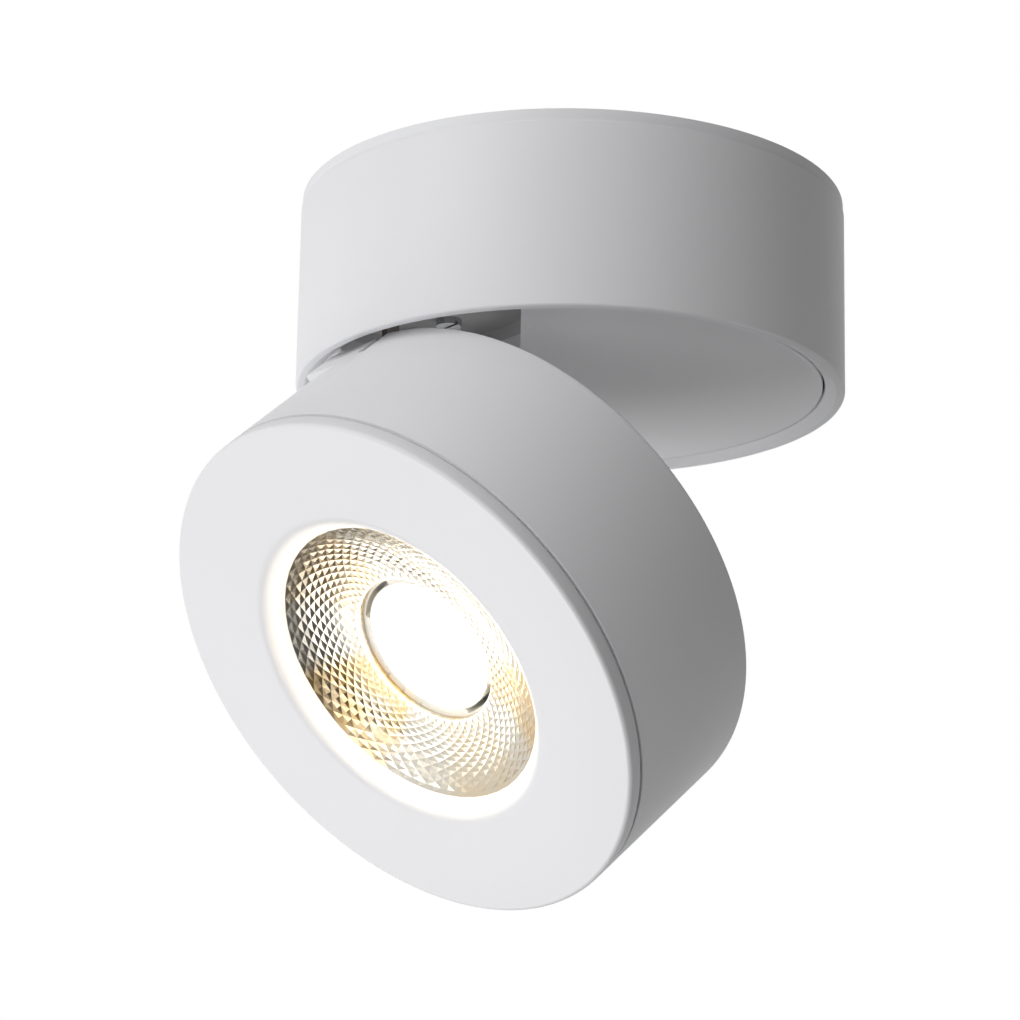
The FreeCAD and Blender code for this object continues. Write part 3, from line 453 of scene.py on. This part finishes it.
def apply(piece, kind, **settings):
    """Adds a modifier with its settings and applies it."""
    pick(piece)
    modifier = piece.modifiers.new(kind.lower(), kind)
    for name, value in settings.items():
        setattr(modifier, name, value)
    bpy.ops.object.modifier_apply(modifier=modifier.name)


def cut(piece, *cutters):
    """Takes the cutters' shapes out of a piece, and deletes the cutters."""
    for cutter in cutters:
        apply(piece, "BOOLEAN", operation="DIFFERENCE", solver="EXACT", object=cutter)
        bpy.data.objects.remove(cutter)


def weld(piece, *additions):
    """Joins other solid shapes to a piece, and deletes them."""
    for addition in additions:
        apply(piece, "BOOLEAN", operation="UNION", solver="EXACT", object=addition)
        bpy.data.objects.remove(addition)


def pull(cutter, chosen, offset):
    """Moves those corners of a cutter that a test on their place, in millimetres, picks."""
    bpy.ops.object.mode_set(mode="EDIT")
    bpy.ops.mesh.select_mode(type="VERT")
    bpy.ops.mesh.select_all(action="DESELECT")
    mesh = bmesh.from_edit_mesh(cutter.data)
    for vertex in mesh.verts:
        vertex.select_set(chosen(vertex.co / MM))
    mesh.select_flush(True)
    bmesh.update_edit_mesh(cutter.data)
    bpy.ops.transform.translate(value=Vector(offset) * MM)
    bpy.ops.object.mode_set(mode="OBJECT")


def soften(piece, width, segments=3):
    """A small round on every sharp edge, and smooth shading between them."""
    apply(
        piece, "BEVEL", width=width * MM, segments=segments, limit_method="ANGLE",
        angle_limit=math.radians(SHARP_ANGLE), use_clamp_overlap=True, harden_normals=False,
    )
    bpy.ops.object.shade_smooth_by_angle(angle=math.radians(SOFTENED_SMOOTH))


def block(low, high):
    """A box between two corners, to cut or weld with."""
    bpy.ops.object.select_all(action="DESELECT")
    middle = [(a + b) / 2 * MM for a, b in zip(low, high)]
    bpy.ops.mesh.primitive_cube_add(size=1, location=middle, scale=[(b - a) * MM for a, b in zip(low, high)])
    return bpy.context.object


def rod(radius, low, high, across=0, along=0, steps=ROD_STEPS):
    """An upright cylinder, to cut or weld with."""
    bpy.ops.object.select_all(action="DESELECT")
    place = across * MM, along * MM, (low + high) / 2 * MM
    bpy.ops.mesh.primitive_cylinder_add(
        radius=radius * MM, depth=(high - low) * MM, vertices=steps, location=place
    )
    return bpy.context.object


def rods_round(radius, low, high, reach, angles, steps=ROD_STEPS):
    """Upright cylinders at one reach from the Z axis, at angles in degrees."""
    turns = [math.radians(angle) for angle in angles]
    return [rod(radius, low, high, reach * math.cos(a), reach * math.sin(a), steps) for a in turns]


def turn(piece, angle, axis, centre=(0, 0, 0)):
    """Turns a cutter about an axis, in its mesh."""
    place = Vector(centre) * MM
    piece.matrix_world = (
        Matrix.Translation(place) @ Matrix.Rotation(math.radians(angle), 4, axis) @ Matrix.Translation(-place)
    ) @ piece.matrix_world
    return piece


def slot_cutter(middle, length, width, low, high):
    """An upright slot with round ends, along X, to cut with."""
    cutter = rod(width / 2, low, high, middle)
    for side in (-1, 1):
        pull(cutter, lambda place: place.x * side > HAIR, (side * (length - width) / 2, 0, 0))
    return cutter


def curved_slot(inner, outer, low, high, middle, length):
    """A slot that runs round the Z axis between two radii, to cut with."""
    cutter = lathe("slot", [(inner, low), (outer, low), (outer, high), (inner, high)], SLOT_STEPS, length)
    return turn(cutter, middle + length / 2, "Z")


def place_head(piece):
    """Swings a closed head piece out to its rest tilt, in its mesh."""
    pick(piece)
    piece.matrix_world = swing @ piece.matrix_world
    bpy.ops.object.transform_apply(location=True, rotation=True, scale=True)


def settle(piece, material, body, node):
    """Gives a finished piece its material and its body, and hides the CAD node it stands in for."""
    piece.data.materials.clear()
    piece.data.materials.append(material)
    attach(piece, body)
    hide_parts(node)


# ---------------------------------------------------------------- base
def mounting_plate():
    """The ceiling plate, with its skirt, cable hole and two screw slots."""
    plate = lathe("ceiling_plate", [
        (CABLE_HOLE, 0),
        (CABLE_HOLE, -PLATE_THICKNESS),
        (SKIRT_RADIUS - SKIRT_WALL, -PLATE_THICKNESS),
        (SKIRT_RADIUS - SKIRT_WALL, SKIRT_LOW),
        (SKIRT_RADIUS, SKIRT_LOW),
        (SKIRT_RADIUS, -PLATE_THICKNESS),
        (PLATE_RADIUS, -PLATE_THICKNESS),
        (PLATE_RADIUS, 0),
    ])
    slots = [
        slot_cutter(side * SLOT_SPACING / 2, SLOT_LENGTH, SLOT_WIDTH, -PLATE_THICKNESS - PAST, PAST)
        for side in (-1, 1)
    ]
    cut(plate, *slots)
    soften(plate, PLATE_EDGE)
    settle(plate, PAINT, "base", "mounting_plate")


def base_shell():
    """The turned housing, with its inner floor, chamfered rim and lock screw holes."""
    shell = lathe("base_shell", [
        (BASE_INSIDE, -PLATE_THICKNESS),
        (BASE_INSIDE, FLOOR_TOP),
        (BUSH_RADIUS, FLOOR_TOP),
        (BUSH_RADIUS, FLOOR_LOW),
        (BASE_INSIDE, FLOOR_LOW),
        (BASE_INSIDE, -BASE_HEIGHT + CHAMFER_HEIGHT),
        (BASE_INSIDE + CHAMFER_WIDTH, -BASE_HEIGHT),
        *arc(BASE_RADIUS - RIM_ROUND, -BASE_HEIGHT + RIM_ROUND, RIM_ROUND, -90, 0),
        (BASE_RADIUS, -PLATE_THICKNESS),
    ])
    for angle in LOCK_ANGLES:
        hole = rod(LOCK_RADIUS, BASE_INSIDE - PAST, BASE_RADIUS + PAST)
        turn(hole, 90, "Y")
        turn(hole, angle, "Z")
        hole.location.z += LOCK_LEVEL * MM
        cut(shell, hole)
    soften(shell, SHELL_EDGE)
    settle(shell, PAINT, "base", "base_housing")


# ---------------------------------------------------------------- turntable
def pocket_cutter():
    """The hinge pocket, from its back edge out past the rim: its +X side opens towards the rim."""
    flare = math.radians(POCKET_FLARE)
    front = POCKET_BACK + BASE_RADIUS * math.cos(flare)
    cutter = block((-POCKET_LEFT, -front, DISC_LOW - PAST), (POCKET_HALF, -POCKET_BACK, DISC_TOP + HAIR))
    bpy.ops.object.transform_apply(location=True, rotation=True, scale=True)
    pull(
        cutter,
        lambda place: place.x > 0 and place.y < -POCKET_BACK - PAST,
        (BASE_RADIUS * math.sin(flare), 0, 0),
    )
    return cutter


def turntable_plate():
    """The disc in the rim, with its hub, the way for the lead and the hinge pocket."""
    plate = lathe("turntable_plate", [
        (0, DISC_LOW),
        *arc(DISC_RADIUS - DISC_ROUND, DISC_LOW + DISC_ROUND, DISC_ROUND, -90, 0, FINE_STEPS),
        (DISC_RADIUS, DISC_TOP),
        (HUB_RADIUS, DISC_TOP),
        (HUB_RADIUS, HUB_TOP),
        (SPINDLE_RADIUS, HUB_TOP),
        (SPINDLE_RADIUS, LEAD_TOP),
        (LEAD_RADIUS, LEAD_TOP),
        (LEAD_RADIUS, DISC_TOP),
        (0, DISC_TOP),
    ])
    lead_way = block((-LEAD_WIDTH / 2, -HUB_RADIUS - PAST, DISC_TOP), (LEAD_WIDTH / 2, 0, LEAD_TOP))
    cut(plate, pocket_cutter(), lead_way)
    soften(plate, DISC_EDGE, segments=2)
    settle(plate, PAINT, "turntable", "turntable_disc")


# ---------------------------------------------------------------- head
def head_shell():
    """The head's cup, with its vents, screw posts, hinge notch, flat and step."""
    shell = lathe("head_shell", [
        (0, REAR_INSIDE),
        (HEAD_INSIDE, REAR_INSIDE),
        (HEAD_INSIDE, SHELL_LOW),
        (HEAD_RADIUS, SHELL_LOW),
        *arc(HEAD_RADIUS - EDGE_ROUND, REAR - EDGE_ROUND, EDGE_ROUND, 0, 90),
        (0, REAR),
    ])
    vents = []
    for index in range(VENT_COUNT):
        middle = (VENT_INNER + VENT_OUTER) / 2
        vent = slot_cutter(middle, VENT_OUTER - VENT_INNER, VENT_WIDTH, REAR_INSIDE - PAST, REAR + PAST)
        vents.append(turn(vent, index * 360 / VENT_COUNT, "Z"))
    cut(shell, *vents)
    left, right = LUG_OFFSET - NOTCH_HALF, LUG_OFFSET + NOTCH_HALF
    weld(
        shell,
        block((left - FLAT_LENGTH, -FLAT_REACH, FLAT_LOW), (left, -HEAD_INSIDE - FLAT_INSET, STEP_LOW)),
        *rods_round(POST_RADIUS, POST_LOW, REAR_INSIDE + POST_ROOT, POST_REACH, POST_ANGLES),
    )
    barrel = rod(BARREL_RADIUS, left, right)
    turn(barrel, 90, "Y")
    barrel.location += Vector((0, -HINGE_REACH, HINGE_LEVEL)) * MM
    cut(
        shell,
        block((left - FLAT_LENGTH, -BASE_RADIUS, STEP_LOW), (left, -STEP_REACH, REAR + PAST)),
        block(
            (LUG_OFFSET - RELIEF_HALF, -RELIEF_NEAR, RELIEF_LOW),
            (LUG_OFFSET + RELIEF_HALF, -RELIEF_FAR, RELIEF_TOP),
        ),
        block((left, -HEAD_RADIUS - PAST, NOTCH_LOW), (right, -NOTCH_BACK, REAR + PAST)),
        barrel,
        rod(LEAD_HOLE_RADIUS, REAR_INSIDE - PAST, REAR + PAST, *LEAD_HOLE),
    )
    soften(shell, HEAD_EDGE, segments=2)
    place_head(shell)
    settle(shell, PAINT, "head", "head_housing")


def front_ring():
    """The painted front ring, with its skirt behind and the hollow lip round the opening."""
    skirt_inside = TRIM_SKIRT_RADIUS - TRIM_SKIRT_WALL
    ring = lathe("front_ring", [
        (OPENING_RADIUS, FACE + OPENING_DEPTH),
        (FLANGE_RADIUS, FACE + OPENING_DEPTH),
        (FLANGE_RADIUS, FACE + TRIM_BACK),
        (skirt_inside, FACE + TRIM_BACK),
        (skirt_inside, FACE + TRIM_SKIRT),
        (TRIM_SKIRT_RADIUS, FACE + TRIM_SKIRT),
        (TRIM_SKIRT_RADIUS, SEAM),
        *arc(HEAD_RADIUS - SEAM_ROUND, SEAM - SEAM_ROUND, SEAM_ROUND, 90, 0, FINE_STEPS),
        *arc(HEAD_RADIUS - FACE_ROUND, FACE + FACE_ROUND, FACE_ROUND, 0, -90, FACE_STEPS),
        *reversed(bowl_line(
            (OPENING_RADIUS + LIP_EDGE, FACE + LIP_DEPTH), (OPENING_RADIUS + LIP_REACH, FACE),
            LIP_ROUND, LIP_STEPS,
        )),
    ])
    bpy.ops.object.shade_smooth_by_angle(angle=math.radians(TURNED_SMOOTH))
    place_head(ring)
    settle(ring, PAINT, "head", "front_trim")


def seam_gasket():
    """The rubber gasket in the seam behind the front ring."""
    gasket = lathe("seam_gasket", [
        (TRIM_SKIRT_RADIUS, SEAM),
        (GASKET_RADIUS, SEAM),
        (GASKET_RADIUS, SHELL_LOW),
        (TRIM_SKIRT_RADIUS, SHELL_LOW),
    ])
    bpy.ops.object.shade_smooth_by_angle(angle=math.radians(TURNED_SMOOTH))
    place_head(gasket)
    settle(gasket, BLACK, "head", "trim_gasket")


def pick_band(mesh, low, high, sides=None):
    """Selects the bowl's inner faces between two heights, or only those with a given number of sides."""
    for face in mesh.faces:
        middle = face.calc_center_median()
        level = middle.z / MM
        reach = math.hypot(middle.x, middle.y) / MM
        face.select_set(
            low < level < high and THROAT_RADIUS < reach < OPENING_RADIUS
            and face.normal.z < FACING_DOWN and sides in (None, len(face.verts))
        )


def facet(piece, low, high):
    """Turns the ring faces between two heights into raised diamonds."""
    bpy.ops.object.mode_set(mode="EDIT")
    bpy.ops.mesh.select_all(action="DESELECT")
    bpy.ops.mesh.select_mode(type="FACE")
    mesh = bmesh.from_edit_mesh(piece.data)
    pick_band(mesh, low, high)
    corners = {vertex for face in mesh.faces if face.select for vertex in face.verts}
    old = {frozenset(v.index for v in edge.verts) for edge in mesh.edges if set(edge.verts) <= corners}
    bmesh.update_edit_mesh(piece.data)
    bpy.ops.mesh.poke(offset=0)
    bpy.ops.mesh.select_mode(type="EDGE")
    bpy.ops.mesh.select_all(action="DESELECT")
    mesh = bmesh.from_edit_mesh(piece.data)
    for edge in mesh.edges:
        ends = {vertex.index for vertex in edge.verts}
        inner = len(edge.link_faces) == 2 and all(len(face.verts) == 3 for face in edge.link_faces)
        edge.select_set(inner and frozenset(ends) in old)
    bmesh.update_edit_mesh(piece.data)
    bpy.ops.mesh.dissolve_edges(use_verts=False)
    bpy.ops.mesh.select_all(action="DESELECT")
    bpy.ops.mesh.select_mode(type="FACE")
    mesh = bmesh.from_edit_mesh(piece.data)
    pick_band(mesh, low, high, sides=4)
    bmesh.update_edit_mesh(piece.data)
    bpy.ops.mesh.poke(offset=FACET_HEIGHT * MM)
    bpy.ops.object.mode_set(mode="OBJECT")


def reflector_bowl():
    """The faceted bowl, with its collar at the throat and its flange behind the front ring."""
    wall = REFLECTOR_WALL
    mouth, throat = FACE + OPENING_DEPTH, FACE + THROAT_DEPTH
    inner = bowl_line((OPENING_RADIUS, mouth), (THROAT_RADIUS, throat), BOWL_CURVE, FACET_ROWS)
    outer = bowl_line(
        (OPENING_RADIUS + wall, mouth + wall), (THROAT_RADIUS + wall, throat + wall),
        BOWL_CURVE + wall, FACET_ROWS,
    )
    bowl = lathe("faceted_reflector", [
        *inner,
        (THROAT_RADIUS, FACE + COLLAR_DEPTH),
        (THROAT_RADIUS + wall, FACE + COLLAR_DEPTH),
        *reversed(outer),
        (FLANGE_RADIUS, mouth + wall),
        (FLANGE_RADIUS, mouth),
    ], steps=FACET_COLUMNS)
    facet(bowl, mouth, throat)
    place_head(bowl)
    settle(bowl, MIRROR, "head", "reflector")


def lens_disc():
    """The lit lens, slightly domed towards the opening."""
    front = FACE + COLLAR_DEPTH + LENS_GAP
    dome = [
        (LENS_RADIUS * i / DOME_STEPS, front + LENS_DOME * (i / DOME_STEPS) ** 2)
        for i in range(DOME_STEPS + 1)
    ]
    lens = lathe("lens_disc", [*dome, (LENS_RADIUS, front + LENS_THICKNESS), (0, front + LENS_THICKNESS)])
    bpy.ops.object.shade_smooth_by_angle(angle=math.radians(TURNED_SMOOTH))
    place_head(lens)
    settle(lens, LENS, "head", "light_lens")


def holder_ring():
    """The ring that holds the lens on the heat sink, with its two clip slots and three small pits."""
    collar = FACE + COLLAR_DEPTH
    sink = FACE + SINK_DEPTH
    lens_back = collar + LENS_GAP + LENS_THICKNESS
    ring = lathe("lens_holder", [
        (LENS_RADIUS + LENS_CLEARANCE, collar),
        (TOWER_RADIUS, collar),
        (TOWER_RADIUS, sink - HOLDER_FLANGE),
        (HOLDER_RADIUS, sink - HOLDER_FLANGE),
        (HOLDER_RADIUS, sink),
        (LENS_RADIUS - LEDGE, sink),
        (LENS_RADIUS - LEDGE, lens_back),
        (LENS_RADIUS + LENS_CLEARANCE, lens_back),
    ])
    slots = [
        curved_slot(CLIP_INNER, CLIP_OUTER, collar - PAST, sink + PAST, middle, length)
        for middle, length in CLIP_SLOTS
    ]
    pits = rods_round(PIT_RADIUS, collar - PAST, collar + PIT_DEPTH, PIT_REACH, PIT_ANGLES, PIT_STEPS)
    cut(ring, *slots, *pits)
    soften(ring, HOLDER_EDGE, segments=2)
    place_head(ring)
    settle(ring, PALE, "head", "cob_holder")


mounting_plate()
base_shell()
turntable_plate()
head_shell()
front_ring()
seam_gasket()
reflector_bowl()
lens_disc()
holder_ring()


# ---------------------------------------------------------------- camera, lights and stage
CAMERA_AZIMUTH = 50.87
CAMERA_PITCH = 16.19
CAMERA_ROLL = 1.062
CAMERA_PLACE = (-10.54, -664.37, -214.80)  # from the rim's centre, right, forward and up along the azimuth
CAMERA_LENS = 135.1
CAMERA_SENSOR = 36
CAMERA_REACH = 50  # in metres
LAMP_TARGET = (0, -0.02, -0.06)  # this and the sizes below are in metres
LAMP_DISTANCE = 1.2
LAMP_SIZE = 0.8
FLOOR_LEVEL = -2.2
FLOOR_SIZE = 7


def camera():
    """The camera, where a fit to the photograph puts it."""
    turned = Matrix.Rotation(math.radians(CAMERA_AZIMUTH), 4, "Z")
    place = turned @ Vector(CAMERA_PLACE) + Vector((0, 0, -BASE_HEIGHT))
    data = bpy.data.cameras.new("camera")
    data.lens = CAMERA_LENS
    data.sensor_width = CAMERA_SENSOR
    data.clip_end = CAMERA_REACH
    item = bpy.data.objects.new("camera", data)
    bpy.context.collection.objects.link(item)
    item.matrix_world = (
        Matrix.Translation(place * MM)
        @ turned
        @ Matrix.Rotation(math.radians(90 + CAMERA_PITCH), 4, "X")
        @ Matrix.Rotation(math.radians(CAMERA_ROLL), 4, "Z")
    )
    bpy.context.scene.camera = item


def softbox(name, azimuth, elevation, power):
    """A square area lamp that faces the object, its azimuth counted from the camera's to the right.

    Its angles are in degrees and its power in watts.
    """
    heading = math.radians(CAMERA_AZIMUTH + azimuth)
    rise = math.radians(elevation)
    away = Vector((math.sin(heading) * math.cos(rise), -math.cos(heading) * math.cos(rise), math.sin(rise)))
    data = bpy.data.lights.new(name, "AREA")
    data.size = LAMP_SIZE
    data.energy = power
    item = bpy.data.objects.new(name, data)
    bpy.context.collection.objects.link(item)
    item.location = Vector(LAMP_TARGET) + away * LAMP_DISTANCE
    item.rotation_euler = away.to_track_quat("Z", "Y").to_euler()


def studio():
    """The floor, and a world that is white to look at and gives the object only a little fill."""
    bpy.ops.object.select_all(action="DESELECT")
    bpy.ops.mesh.primitive_plane_add(size=FLOOR_SIZE, location=(0, 0, FLOOR_LEVEL))
    floor = bpy.context.object
    floor.name = "floor"
    material, _, shader = new_material("pale_floor")
    shader.inputs["Base Color"].default_value = linear("#F2F2F2")
    shader.inputs["Roughness"].default_value = 0.9
    floor.data.materials.append(material)
    world = bpy.data.worlds.new("studio")
    bpy.context.scene.world = world
    world.use_nodes = True
    tree = world.node_tree
    tree.nodes.clear()
    rays = add_node(tree, "ShaderNodeLightPath").outputs
    seen = add_node(
        tree, "ShaderNodeMath", {0: rays["Is Camera Ray"], 1: rays["Is Glossy Ray"]}, operation="MAXIMUM"
    )
    shown = add_node(
        tree, "ShaderNodeMath", {0: seen.outputs[0], 1: rays["Is Transmission Ray"]}, operation="MAXIMUM"
    )
    fill = add_node(tree, "ShaderNodeBackground", {"Color": linear("#FFFFFF"), "Strength": 0.02})
    white = add_node(tree, "ShaderNodeBackground", {"Color": linear("#FFFFFF"), "Strength": 1})
    mix = add_node(
        tree, "ShaderNodeMixShader", {0: shown.outputs[0], 1: fill.outputs[0], 2: white.outputs[0]}
    )
    add_node(tree, "ShaderNodeOutputWorld", {"Surface": mix.outputs[0]})


camera()
studio()
softbox("key_low_left", -110, -45, 7)
softbox("left_low", -80, -45, 2)
softbox("left_high", -50, 30, 5)
softbox("front", -25, -10, 4.8)
softbox("top", -25, 60, 2.2)
softbox("right_low", 100, -45, 2.5)
bpy.context.scene.view_settings.view_transform = "Standard"
